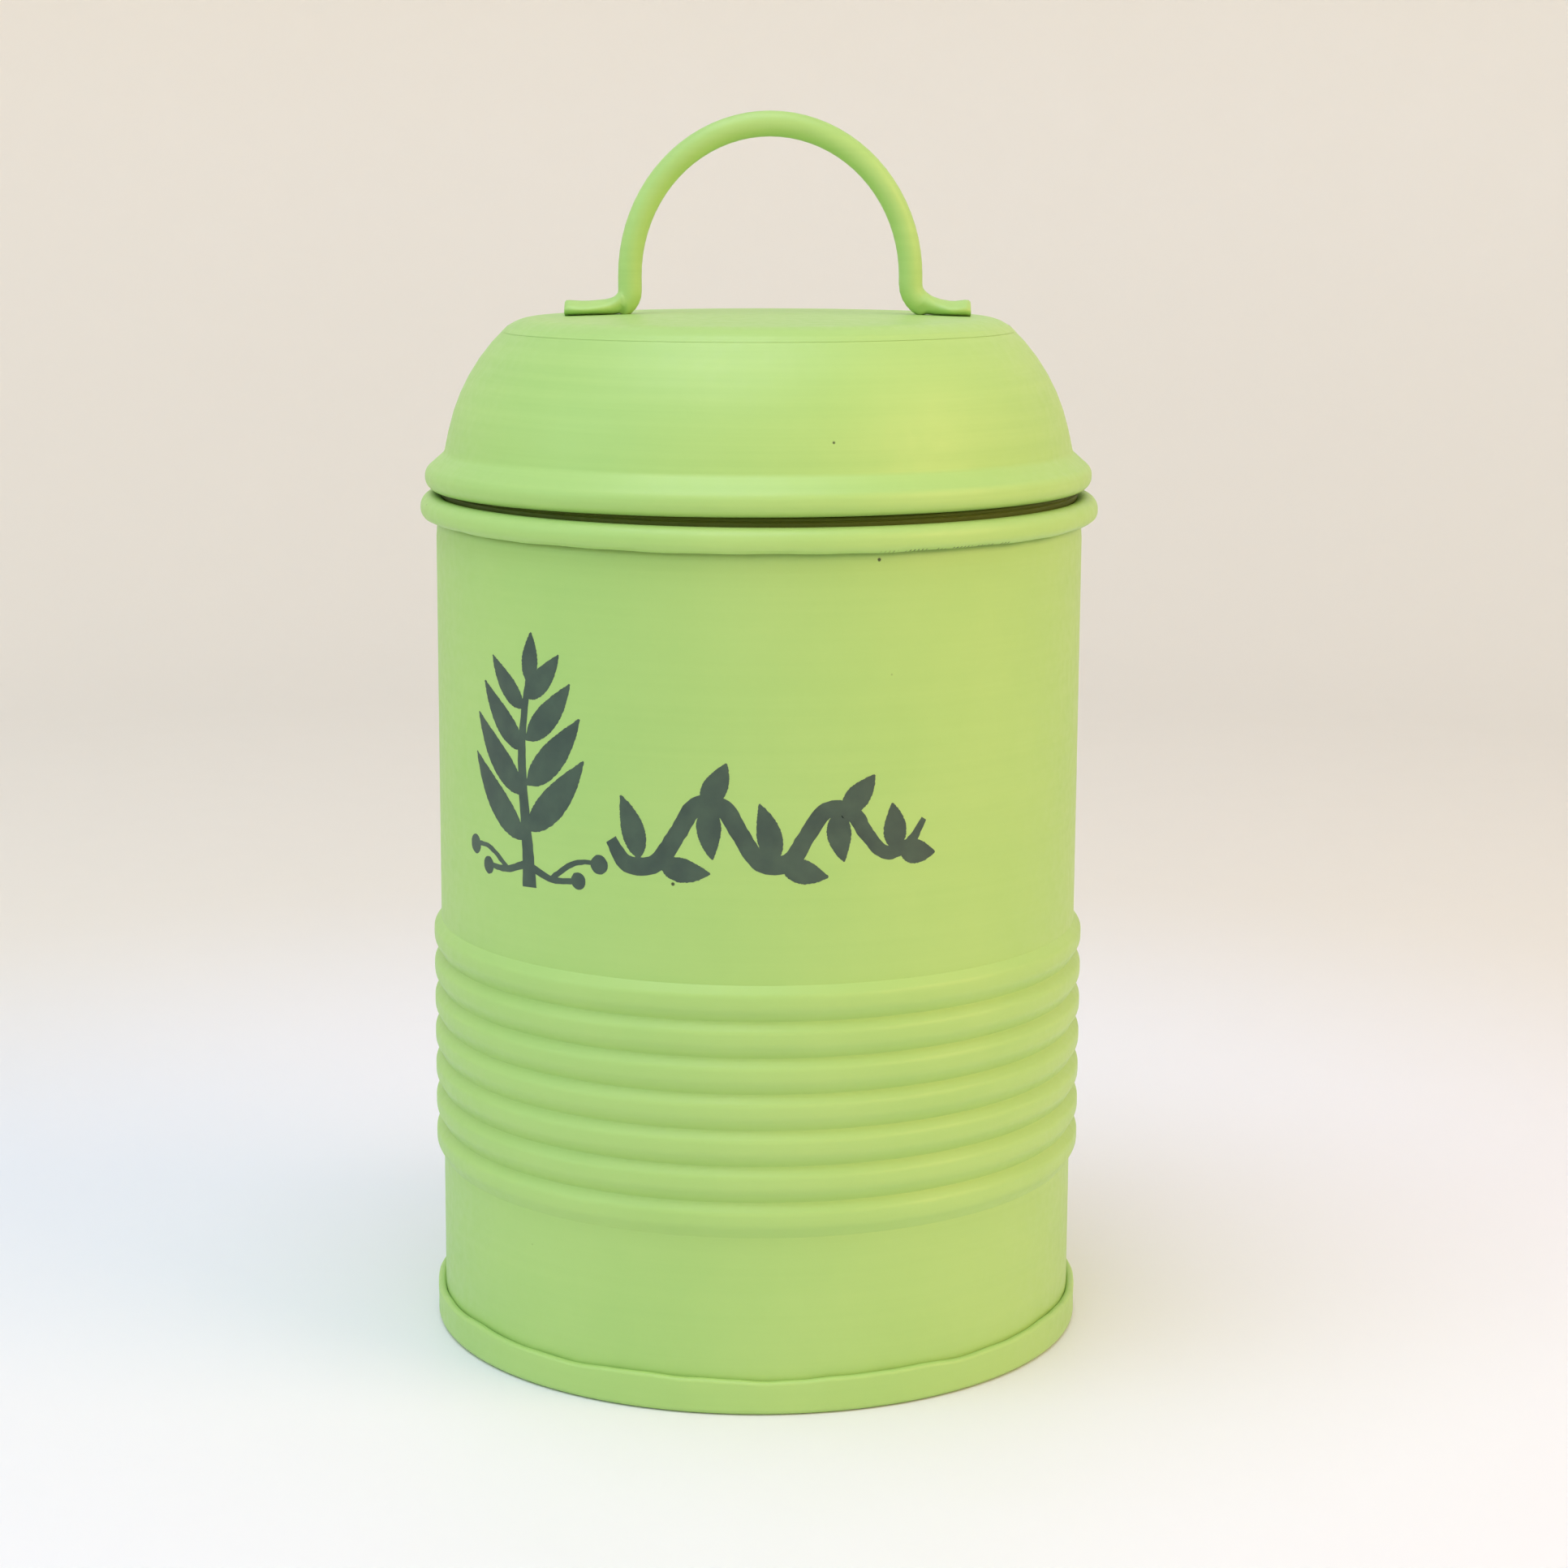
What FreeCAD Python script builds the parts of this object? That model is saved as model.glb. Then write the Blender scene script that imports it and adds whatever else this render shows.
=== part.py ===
"""Round kitchen storage tin with a lift-off domed lid, in millimetres, +Z up.

The origin is the centre of the base, on the surface that the tin stands on. Every shell is sheet
steel: its profile is drawn in the XZ half plane, given its thickness, and turned about the Z axis.
"""
import FreeCAD
import Part
import math
import os

V = FreeCAD.Vector

# Sheet steel and the gaps between pieces
wall_sheet = 0.37            # thickness of the rolled wall
base_sheet = 0.37            # thickness of the base
lid_sheet = 0.40             # thickness of the pressed dome
collar_sheet = 0.37          # thickness of the collar inside the lid
seam_gap = 0.06              # between folded layers of sheet
fold_slack = 0.25            # from the edge of a folded-in sheet to the fold around it
rest_gap = 0.05              # between the seal and the metal above and below it
plug_gap = 0.35              # between the collar and the mouth, at the radius
seal_grip_gap = 0.10         # between the seal and the collar, at the radius

# Tin
wall_radius = 50.0           # outside of the plain wall
tin_height = 131.45          # from the table to the top of the rim
rim_overhang = 2.38          # how far the rim stands out from the wall
curl_radius = 1.95           # outside radius of the rolled rim's section
neck_drop = 1.2              # from the middle of the curl down to the end of the narrowed neck
neck_taper = 3.0             # height over which the wall draws in to the neck
neck_bend = 1.2              # radius at each end of that taper, on the inside
band_height = 5.7            # folded seam round the base
base_panel_inset = 6.5       # width of the ring that the tin stands on
base_panel_rise = 1.0        # how far the middle of the base is pressed up
side_seam_width = 5.0        # lap where the wall's two edges are joined, at the back
side_seam_end_gap = 1.2      # from the lap to the base seam and to the neck

# Stiffening ribs pressed out of the wall
rib_count = 7
rib_pitch = 5.45
rib_lowest = 29.7            # height of the lowest crest
rib_proud = 1.15             # how far a crest stands out
rib_land = 0.75              # height of plain wall between one rib and the next
rib_flank = 1.4              # height of each sloping side of a rib
rib_round = 1.1              # radius at the crest's corners
rib_valley_round = 0.6       # radius where a rib meets the wall

# Lid
seal_thickness = 1.2         # silicone ring that holds the lid off the rim
seal_width = 2.3
bead_radius = 1.7            # outside radius of the lid's folded edge
bead_overhang = 1.46         # how far that edge stands out from the wall
bead_neck = 1.05             # from the middle of the bead in to the foot of the dome
dome_fillet = 0.8            # hollow corner between the bead and the dome
dome_foot_rise = 1.7         # from the top of the bead to the start of the dome's side
dome_side_rise = 12.45
dome_side_lean = 3.03
dome_side_bend = 30.0
shoulder_rise = 7.85
shoulder_run = 8.45
shoulder_bend = 6.7
crown_rise = 0.72            # how far the nearly flat top rises to its middle
crown_flat = 4.0             # flat at the crown's middle, and straight before its edge bends
collar_depth = 10.0          # how far the collar reaches below the rim
collar_lead = 1.5            # height of the collar's turned-in lower edge
collar_lead_in = 0.5

# Handle, round wire with flattened feet welded to the crown
wire_diameter = 3.64
handle_offset = 1.6          # how far off the lid's centre the handle is welded
handle_rise = 30.5           # from the crown to the top of the handle
foot_length = 9.8            # from the middle of the leg to the toe
foot_width = 6.0
foot_thickness = 1.65
foot_corner = 2.4
toe_inset = 4.3              # from the toe to the edge of the crown
weld_sink = 0.4              # how far the leg reaches down into its foot


def rounded_edges(points):
    """Lines and arcs through (r, z, corner radius) points; the first and last corners stay sharp."""
    edges = []
    last = V(points[0][0], 0, points[0][1])
    for before, corner, after in zip(points, points[1:], points[2:]):
        here = V(corner[0], 0, corner[1])
        back = (V(before[0], 0, before[1]) - here).normalize()
        ahead = (V(after[0], 0, after[1]) - here).normalize()
        half = back.getAngle(ahead) / 2
        radius = corner[2]
        if radius < 1e-6 or half > math.pi / 2 - 1e-6:
            edges.append(Part.LineSegment(last, here).toShape())
            last = here
            continue
        start = here + back * (radius / math.tan(half))
        end = here + ahead * (radius / math.tan(half))
        inward = (back + ahead).normalize()
        middle = here + inward * (radius / math.sin(half) - radius)
        if (start - last).Length > 1e-6:
            edges.append(Part.LineSegment(last, start).toShape())
        edges.append(Part.Arc(start, middle, end).toShape())
        last = end
    finish = V(points[-1][0], 0, points[-1][1])
    if (finish - last).Length > 1e-6:
        edges.append(Part.LineSegment(last, finish).toShape())
    return edges


def shifted(points, thickness):
    """The same profile moved sideways: to the right of its direction of travel if positive."""
    sides = []
    for a, b in zip(points, points[1:]):
        length = math.hypot(b[0] - a[0], b[1] - a[1])
        sides.append(((b[0] - a[0]) / length, (b[1] - a[1]) / length))
    moved = []
    for i, (r, z, radius) in enumerate(points):
        arriving = sides[max(i - 1, 0)]
        leaving = sides[min(i, len(sides) - 1)]
        turn_right = arriving[1] * leaving[0] - arriving[0] * leaving[1]
        share = 1 + arriving[0] * leaving[0] + arriving[1] * leaving[1]
        dr = (arriving[1] + leaving[1]) / share * thickness
        dz = -(arriving[0] + leaving[0]) / share * thickness
        tighter = thickness if turn_right > 0 else -thickness
        new_radius = max(radius - tighter, 0.0) if radius > 0 else 0.0
        moved.append((r + dr, z + dz, new_radius))
    return moved


def turned(edges, start_angle=0.0, angle=360.0):
    """A solid of revolution about Z from the edges of a closed profile."""
    face = Part.Face(Part.Wire(Part.__sortEdges__(edges)))
    face.rotate(V(0, 0, 0), V(0, 0, 1), start_angle)
    solid = face.revolve(V(0, 0, 0), V(0, 0, 1), angle)
    if solid.Volume < 0:
        solid.reverse()
    return solid


def sheet_metal(points, thickness, start_angle=0.0, angle=360.0):
    """A turned sheet: points follow one face, and the thickness lies to the right of them."""
    other = shifted(points, thickness)
    near = rounded_edges(points)
    far = rounded_edges(other)
    caps = []
    for a, b in ((points[0], other[0]), (points[-1], other[-1])):
        caps.append(Part.LineSegment(V(a[0], 0, a[1]), V(b[0], 0, b[1])).toShape())
    return turned(near + far + caps, start_angle, angle)


# Sizes that follow from the ones above
rim_radius = wall_radius + rim_overhang
curl_middle_radius = rim_radius - curl_radius
curl_middle_height = tin_height - curl_radius
mouth_radius = curl_middle_radius - curl_radius
neck_height = curl_middle_height - neck_drop
wall_inside = wall_radius - wall_sheet
hook_inside = wall_radius + seam_gap
flange_outside = hook_inside + base_sheet + seam_gap + wall_sheet
band_radius = flange_outside + seam_gap + base_sheet
fold_height = base_sheet + seam_gap


def rib_points():
    """The ribs as a run of raised steps on the inside face of the wall, from the lowest up."""
    points = []
    crest = wall_inside + rib_proud
    half_foot = (rib_pitch - rib_land) / 2
    half_crest = half_foot - rib_flank
    for i in range(rib_count):
        middle = rib_lowest + i * rib_pitch
        points += [(wall_inside, middle - half_foot, rib_valley_round),
                   (crest, middle - half_crest, rib_round),
                   (crest, middle + half_crest, rib_round),
                   (wall_inside, middle + half_foot, rib_valley_round)]
    return points


def body_wall():
    """Rolled wall: hooked into the base seam, ribbed, drawn in at the neck and curled outwards."""
    foot_fold = [(flange_outside, band_height - base_sheet - fold_slack, 0),
                 (flange_outside, fold_height, wall_sheet + seam_gap),
                 (wall_inside, fold_height, wall_sheet + seam_gap)]
    curl_top = curl_middle_height + curl_radius
    curl_bottom = curl_middle_height - curl_radius
    rim = [(wall_inside, neck_height - neck_taper, neck_bend),
           (mouth_radius, neck_height, neck_bend),
           (mouth_radius, curl_top, curl_radius),
           (rim_radius, curl_top, curl_radius),
           (rim_radius, curl_bottom, curl_radius),
           (curl_middle_radius, curl_bottom, 0)]
    shell = sheet_metal(foot_fold + rib_points() + rim, wall_sheet)
    lap = [(wall_inside, band_height + side_seam_end_gap, 0)] + rib_points()
    lap.append((wall_inside, neck_height - neck_taper - side_seam_end_gap, 0))
    lap_face = shifted(lap, wall_sheet / 2)
    spread = math.degrees(side_seam_width / wall_radius)
    strip = sheet_metal(lap_face, wall_sheet * 1.5, 90 - spread / 2, spread)
    return shell.fuse(strip).removeSplitter()


def base_pan():
    """Base: a raised panel, the ring the tin stands on, and an edge folded up over the wall's."""
    panel_radius = band_radius - base_panel_inset
    points = [(0, base_panel_rise, 0),
              (panel_radius - 2 * base_panel_rise, base_panel_rise, 1.0),
              (panel_radius, 0, 1.0),
              (band_radius, 0, base_sheet + seam_gap + wall_sheet),
              (band_radius, band_height, base_sheet + seam_gap),
              (hook_inside, band_height, base_sheet + seam_gap),
              (hook_inside, fold_height + wall_sheet + 2 * seam_gap, 0)]
    return sheet_metal(points, -base_sheet)


def rim_wire():
    """Steel wire that the wall's upper edge is rolled round."""
    wire_radius = curl_radius - wall_sheet - seam_gap
    return Part.makeTorus(curl_middle_radius, wire_radius, V(0, 0, curl_middle_height))


# The lid rests on the seal, the seal on the rim
seal_bottom = tin_height + rest_gap
bead_bottom = seal_bottom + seal_thickness + rest_gap
bead_top = bead_bottom + 2 * bead_radius
bead_outside = wall_radius + bead_overhang
bead_middle = bead_outside - bead_radius
collar_radius = mouth_radius - plug_gap
dome_foot = bead_middle - bead_neck
crown_radius = dome_foot - dome_side_lean - shoulder_run
crown_edge = bead_top + dome_foot_rise + dome_side_rise + shoulder_rise
crown_top = crown_edge + crown_rise


def dome_outline():
    """Outside of the dome, from the middle of the crown to the foot of its side."""
    side_top = bead_top + dome_foot_rise + dome_side_rise
    slope = math.atan2(2 * crown_rise, crown_radius)
    crown_sweep = (crown_radius / 2 - crown_flat) / math.tan(slope / 2)
    return [(0, crown_top, 0),
            (crown_radius / 2, crown_top, crown_sweep),
            (crown_radius, crown_edge, shoulder_bend),
            (crown_radius + shoulder_run, side_top, dome_side_bend),
            (dome_foot, bead_top + dome_foot_rise, 0)]


def lid_dome():
    """Pressed dome whose edge is folded out, down and back in as a bead round the collar's lip."""
    bead = [(dome_foot, bead_top, dome_fillet),
            (bead_outside, bead_top, bead_radius),
            (bead_outside, bead_bottom, bead_radius),
            (collar_radius + collar_sheet + 2 * seam_gap, bead_bottom, 0)]
    return sheet_metal(dome_outline() + bead, lid_sheet)


def lid_collar():
    """Plain sleeve that plugs the mouth, its upper edge turned out and held inside the bead."""
    lip_height = bead_bottom + lid_sheet + seam_gap
    points = [(collar_radius - collar_lead_in, tin_height - collar_depth, 0),
              (collar_radius, tin_height - collar_depth + collar_lead, 1.0),
              (collar_radius, lip_height, collar_sheet + seam_gap),
              (bead_middle, lip_height, 0)]
    return sheet_metal(points, -collar_sheet)


def lid_seal():
    """Silicone ring stretched round the collar, under the bead."""
    inside = collar_radius + seal_grip_gap
    outside = inside + seal_width
    corner = seal_thickness / 4
    points = [(inside, seal_bottom, 0),
              (outside, seal_bottom, corner),
              (outside, seal_bottom + seal_thickness, corner),
              (inside, seal_bottom + seal_thickness, 0)]
    edges = rounded_edges(points)
    edges.append(Part.LineSegment(V(inside, 0, seal_bottom + seal_thickness),
                                  V(inside, 0, seal_bottom)).toShape())
    return turned(edges)


def handle():
    """Arched wire handle; both feet are hammered flat and seated on the curve of the crown."""
    wire_radius = wire_diameter / 2
    reach = crown_radius - toe_inset - handle_offset
    arch_radius = reach - foot_length
    arch_height = crown_top + handle_rise - wire_radius - arch_radius
    circle = Part.makeCircle(wire_radius, V(-arch_radius, 0, arch_height), V(0, 0, 1))
    section = Part.Face(Part.Wire(circle))
    solid = section.revolve(V(0, 0, arch_height), V(0, 1, 0), 180)
    foot_bottom = crown_edge - 1.0
    foot_top = crown_top + foot_thickness
    for side in (-1, 1):
        leg_top = V(side * arch_radius, 0, arch_height)
        leg_length = arch_height - foot_top + weld_sink
        leg = Part.makeCylinder(wire_radius, leg_length, leg_top, V(0, 0, -1))
        heel = side * (arch_radius - wire_radius)
        toe = side * reach
        plate = Part.makeBox(abs(toe - heel), foot_width, foot_top - foot_bottom,
                             V(min(heel, toe), -foot_width / 2, foot_bottom))
        corners = [e for e in plate.Edges if abs(e.tangentAt(e.FirstParameter).z) > 0.99]
        plate = plate.makeFillet(min(foot_corner, foot_width / 2 - 0.1), corners)
        solid = solid.fuse([leg, plate])
    solid = solid.removeSplitter()
    solid.translate(V(handle_offset, 0, 0))
    outline = rounded_edges(dome_outline())
    foot_z = bead_top + dome_foot_rise
    outline.append(Part.LineSegment(V(dome_foot, 0, foot_z), V(0, 0, foot_z)).toShape())
    outline.append(Part.LineSegment(V(0, 0, foot_z), V(0, 0, crown_top)).toShape())
    return solid.cut(turned(outline))


os.makedirs("parts", exist_ok=True)
for build in (body_wall, base_pan, rim_wire, lid_dome, lid_collar, lid_seal, handle):
    piece = build()
    if piece.ShapeType == "Compound" and len(piece.Solids) == 1:
        piece = piece.Solids[0]
    piece.exportStep("parts/" + build.__name__ + ".step")
    box = piece.optimalBoundingBox()
    print(build.__name__, "valid" if piece.isValid() else "BROKEN", len(piece.Solids), "solid(s)",
          round(piece.Volume, 1), "mm3", "z", round(box.ZMin, 2), "to", round(box.ZMax, 2),
          "x", round(box.XMin, 2), "to", round(box.XMax, 2))
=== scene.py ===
import bpy
import math
import random
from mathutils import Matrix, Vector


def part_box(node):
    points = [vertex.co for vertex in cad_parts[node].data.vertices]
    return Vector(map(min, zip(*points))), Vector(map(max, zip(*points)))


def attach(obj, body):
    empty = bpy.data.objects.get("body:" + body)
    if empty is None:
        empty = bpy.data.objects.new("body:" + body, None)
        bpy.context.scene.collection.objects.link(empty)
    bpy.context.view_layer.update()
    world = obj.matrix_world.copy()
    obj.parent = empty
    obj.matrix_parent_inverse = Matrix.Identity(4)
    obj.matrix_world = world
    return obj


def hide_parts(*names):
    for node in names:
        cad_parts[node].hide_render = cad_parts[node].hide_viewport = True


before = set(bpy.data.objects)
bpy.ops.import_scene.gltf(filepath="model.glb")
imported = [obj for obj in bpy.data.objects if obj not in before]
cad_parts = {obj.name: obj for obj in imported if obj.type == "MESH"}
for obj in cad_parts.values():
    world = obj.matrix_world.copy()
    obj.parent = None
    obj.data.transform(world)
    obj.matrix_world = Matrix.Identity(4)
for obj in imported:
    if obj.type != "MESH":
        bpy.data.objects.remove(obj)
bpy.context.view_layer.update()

# ---------------------------------------------------------------------------
# Body wall: 0.37 mm steel sheet rolled into a tube, seven ribs pressed out of it, the mouth drawn
# in and its edge curled outwards round a wire, the lower edge folded into the base seam. Powder
# coated all over after it was put together.
MM = 0.001
wall_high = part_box("body_wall")[1]
rim_top = wall_high[2] / MM
rim_radius = wall_high[0] / MM
wall_radius = 50.0
wall_sheet = 0.37
curl_radius = 1.95
curl_height = rim_top - curl_radius
curl_middle = rim_radius - curl_radius
mouth_radius = curl_middle - curl_radius
wall_inside = wall_radius - wall_sheet
rib_count = 7
rib_pitch = 5.45
rib_lowest = 29.7
rib_proud = 1.15
# a rib's corners: share of its height, distance from its middle, corner radius
rib_profile = ((0, -2.6, 0.45), (1, -0.7, 1.6), (1, 1.1, 0.9), (0, 2.5, 0.4))
hem_width = 1.22            # the wall's foot is turned out and up, to hook into the base
hem_top = 5.0
hem_fold = 0.43
neck_draw = 0.2             # the wall is drawn in this much before it curves to the mouth
tuck_gap = 0.2              # from the wall's face to the curl's tucked edge
out_of_round = 0.05


def rounded(points, step_degrees=9):
    """Points along straight runs and arcs through (radius, height, corner radius) corners.

    Two arcs that share a run have to leave room for each other, or the line folds back.
    """
    line = [points[0][:2]]
    for before, corner, after in zip(points, points[1:], points[2:]):
        back = (before[0] - corner[0], before[1] - corner[1])
        ahead = (after[0] - corner[0], after[1] - corner[1])
        back_length = math.hypot(*back)
        ahead_length = math.hypot(*ahead)
        back = (back[0] / back_length, back[1] / back_length)
        ahead = (ahead[0] / ahead_length, ahead[1] / ahead_length)
        cosine = max(-1, min(1, back[0] * ahead[0] + back[1] * ahead[1]))
        half = math.acos(cosine) / 2
        radius = corner[2]
        if radius == 0:
            line.append(corner[:2])
            continue
        reach = radius / math.tan(half)
        start = (corner[0] + back[0] * reach, corner[1] + back[1] * reach)
        middle_way = (back[0] + ahead[0], back[1] + ahead[1])
        length = math.hypot(*middle_way)
        hub_reach = radius / math.sin(half)
        hub = (corner[0] + middle_way[0] / length * hub_reach,
               corner[1] + middle_way[1] / length * hub_reach)
        first = math.atan2(start[1] - hub[1], start[0] - hub[0])
        turn = math.pi - 2 * half
        side = back[0] * ahead[1] - back[1] * ahead[0]
        steps = max(2, round(math.degrees(turn) / step_degrees))
        for i in range(steps + 1):
            a = first + (turn if side < 0 else -turn) * i / steps
            line.append((hub[0] + radius * math.cos(a), hub[1] + radius * math.sin(a)))
    line.append(points[-1][:2])
    shortest = 0.015
    return [p for p, q in zip(line, line[1:]) if math.dist(p, q) > shortest] + [line[-1]]


def divided(line, longest):
    """The same line with its long straight runs cut into shorter ones."""
    result = [line[0]]
    for a, b in zip(line, line[1:]):
        pieces = max(1, math.ceil(math.dist(a, b) / longest))
        for i in range(1, pieces + 1):
            result.append((a[0] + (b[0] - a[0]) * i / pieces, a[1] + (b[1] - a[1]) * i / pieces))
    return result


def finished(piece):
    """Leaves edit mode, smooths the shading, and puts the object's own place into its mesh."""
    bpy.ops.object.mode_set(mode="OBJECT")
    bpy.ops.object.transform_apply(location=True, rotation=True, scale=True)
    bpy.ops.object.shade_smooth_by_angle(angle=math.radians(50))
    return piece


def spun(name, line, steps=240, start_degrees=0.0, angle=math.tau):
    """Draws a profile point by point in the XZ plane and spins it round the tin's axis."""
    bpy.ops.object.select_all(action="DESELECT")
    bpy.ops.mesh.primitive_plane_add(size=MM)
    piece = bpy.context.object
    piece.name = name
    bpy.ops.object.mode_set(mode="EDIT")
    bpy.ops.mesh.select_all(action="SELECT")
    bpy.ops.mesh.merge(type="CENTER")
    bpy.ops.transform.translate(value=(line[0][0] * MM, 0, line[0][1] * MM))
    for a, b in zip(line, line[1:]):
        move = ((b[0] - a[0]) * MM, 0, (b[1] - a[1]) * MM)
        bpy.ops.mesh.extrude_region_move(TRANSFORM_OT_translate={"value": move})
    bpy.ops.mesh.select_all(action="SELECT")
    bpy.ops.mesh.spin(steps=steps, angle=angle, center=(0, 0, 0), axis=(0, 0, 1))
    bpy.ops.mesh.select_all(action="SELECT")
    bpy.ops.mesh.remove_doubles(threshold=0.005 * MM)
    bpy.ops.mesh.normals_make_consistent(inside=False)
    finished(piece)
    piece.rotation_euler = (0, 0, math.radians(start_degrees))
    bpy.ops.object.transform_apply(location=False, rotation=True, scale=False)
    return piece


def thickened(piece, thickness, offset):
    """Gives a spun skin the thickness of its sheet."""
    bpy.context.view_layer.objects.active = piece
    sheet = piece.modifiers.new("sheet", "SOLIDIFY")
    sheet.thickness = thickness * MM
    sheet.offset = offset
    sheet.use_quality_normals = True
    bpy.ops.object.modifier_apply(modifier="sheet")
    return piece


def nudged(piece, rule):
    """Hand finishing: moves each point by what rule(radius, azimuth, height) gives, in mm."""
    for vertex in piece.data.vertices:
        x, y, z = (c / MM for c in vertex.co)
        radius = math.hypot(x, y)
        azimuth = math.atan2(x, -y)
        out, up = rule(radius, azimuth, z)
        if radius > 0:
            vertex.co.x += out * MM * x / radius
            vertex.co.y += out * MM * y / radius
        vertex.co.z += up * MM
    piece.data.update()
    return piece


def rib_corners(base):
    """Corners of the seven ribs on a face of the given radius, from the lowest up."""
    corners = []
    for i in range(rib_count):
        middle = rib_lowest + i * rib_pitch
        corners += [(base + share * rib_proud, middle + rise, bend)
                    for share, rise, bend in rib_profile]
    return corners


wall_corners = [(wall_inside + hem_width, hem_top, 0),
                (wall_inside + hem_width, hem_fold, hem_fold),
                (wall_inside, hem_fold, hem_fold)]
wall_corners += rib_corners(wall_inside)
wall_corners += [(wall_inside, curl_height - 4.6, 2.5),
                 (wall_inside - 0.12, curl_height - 3.0, 2.0),
                 (wall_inside - neck_draw, curl_height - 2.4, 1.0),
                 (mouth_radius, curl_height - 1.0, 0.9),
                 (mouth_radius, rim_top, curl_radius),
                 (rim_radius, rim_top, curl_radius),
                 (rim_radius, curl_height - curl_radius + 0.1, 1.5),
                 (wall_radius + 0.45, curl_height - curl_radius + 0.1, 0.3),
                 (wall_radius + tuck_gap, curl_height - curl_radius + 0.75, 0)]
tin_wall = spun("tin_wall", divided(rounded(wall_corners, 11), 5.0), steps=240)
thickened(tin_wall, wall_sheet, -1)


def rolled_by_hand(radius, azimuth, z):
    """The wall is never quite round, and the curl's tucked edge wanders a little."""
    out = -out_of_round + out_of_round * math.sin(2 * azimuth + 0.7) * min(1, z / 60)
    up = 0.0
    if radius > wall_radius + 0.15 and abs(z - (curl_height - curl_radius)) < 0.7:
        up = 0.05 * math.sin(11 * azimuth + 1) + 0.04 * math.sin(29 * azimuth) + 0.06
    return out, up


nudged(tin_wall, rolled_by_hand)


def to_linear(code):
    """An sRGB hex colour as the linear colour a shader takes."""
    channels = [int(code[i:i + 2], 16) / 255 for i in (1, 3, 5)]
    return tuple(c / 12.92 if c <= 0.04045 else ((c + 0.055) / 1.055) ** 2.4
                 for c in channels) + (1.0,)


def node(tree, kind, settings=None, **inputs):
    """Adds a node. settings are its own options; inputs are numbers, colours or other sockets,

    named by the socket's label with _ for a space, or by _ and the socket's number.
    """
    made = tree.nodes.new("ShaderNode" + kind)
    for option, value in (settings or {}).items():
        setattr(made, option, value)
    for label, value in inputs.items():
        numbered = label[0] == "_"
        socket = made.inputs[int(label[1:]) if numbered else label.replace("_", " ")]
        if isinstance(value, bpy.types.NodeSocket):
            tree.links.new(value, socket)
        else:
            socket.default_value = value
    return made


def material(name):
    """An empty material with its output, ready for nodes."""
    made = bpy.data.materials.new(name)
    made.use_nodes = True
    made.node_tree.nodes.clear()
    node(made.node_tree, "OutputMaterial")
    return made


def powder_coat(name, streaks):
    """Matte spring-green polyester powder over steel: IOR 1.5, soft sheen, fine orange peel.

    streaks is how strongly the marks of the spinning lathe show through, running round the piece.
    """
    made = material(name)
    tree = made.node_tree
    place = node(tree, "TexCoord").outputs["Object"]
    # sizes of the noises' cells: orange peel, the powder's grain, and drifts in film thickness
    peel_size = 1.6 * MM
    grain_size = 0.55 * MM
    cloud_size = 28 * MM
    peel = node(tree, "TexNoise", Vector=place, Scale=1 / peel_size, Detail=2.0, Roughness=0.45)
    grain = node(tree, "TexNoise", Vector=place, Scale=1 / grain_size, Detail=1.0)
    cloud = node(tree, "TexNoise", Vector=place, Scale=1 / cloud_size, Detail=3.0,
                 Roughness=0.55)
    # marks that run round: a noise squeezed flat, so it changes with height and hardly round
    flat = node(tree, "Mapping", Vector=place, Scale=(12.0, 12.0, 900.0))
    rings = node(tree, "TexNoise", Vector=flat.outputs[0], Scale=1.0, Detail=4.0, Roughness=0.6)
    # colour: even, with slight drifts in film thickness and lighter rings
    drift = node(tree, "ValToRGB", Fac=cloud.outputs["Fac"])
    drift.color_ramp.elements[0].position = 0.3
    drift.color_ramp.elements[0].color = to_linear("#A6CC72")
    drift.color_ramp.elements[1].position = 0.7
    drift.color_ramp.elements[1].color = to_linear("#ACCF76")
    ringed = node(tree, "Mix", {"data_type": "RGBA", "blend_type": "OVERLAY"}, _0=0.02 + streaks,
                  _6=drift.outputs["Color"], _7=rings.outputs["Fac"])
    # specks: tiny dark grains of dust baked into the film, one every couple of centimetres
    dust_spacing = 11 * MM
    dust = node(tree, "TexVoronoi", {"feature": "F1"}, Vector=place, Scale=1 / dust_spacing)
    speck = node(tree, "MapRange", Value=dust.outputs["Distance"], From_Min=0.018,
                 From_Max=0.03, To_Min=1.0, To_Max=0.0)
    picked = node(tree, "Math", {"operation": "GREATER_THAN"}, _0=dust.outputs["Color"], _1=0.62)
    shown = node(tree, "Math", {"operation": "MULTIPLY"}, _0=speck.outputs[0],
                 _1=picked.outputs[0])
    final = node(tree, "Mix", {"data_type": "RGBA"}, _0=shown.outputs[0],
                 _6=ringed.outputs[2], _7=to_linear("#3A4A24"))
    gloss = node(tree, "MapRange", Value=peel.outputs["Fac"], From_Min=0.3, From_Max=0.7,
                 To_Min=0.40, To_Max=0.50)
    peel_bump = node(tree, "Bump", Strength=0.16, Distance=0.10 * MM, Height=peel.outputs["Fac"])
    grain_bump = node(tree, "Bump", Strength=0.16, Distance=0.05 * MM,
                      Height=grain.outputs["Fac"], Normal=peel_bump.outputs[0])
    ring_bump = node(tree, "Bump", Strength=0.2 * streaks / 0.1 + 0.02, Distance=0.05 * MM,
                     Height=rings.outputs["Fac"], Normal=grain_bump.outputs[0])
    shader = node(tree, "BsdfPrincipled", Base_Color=final.outputs[2], Roughness=gloss.outputs[0],
                  IOR=1.5, Normal=ring_bump.outputs[0])
    tree.links.new(shader.outputs[0], tree.nodes["Material Output"].inputs[0])
    return made


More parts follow.
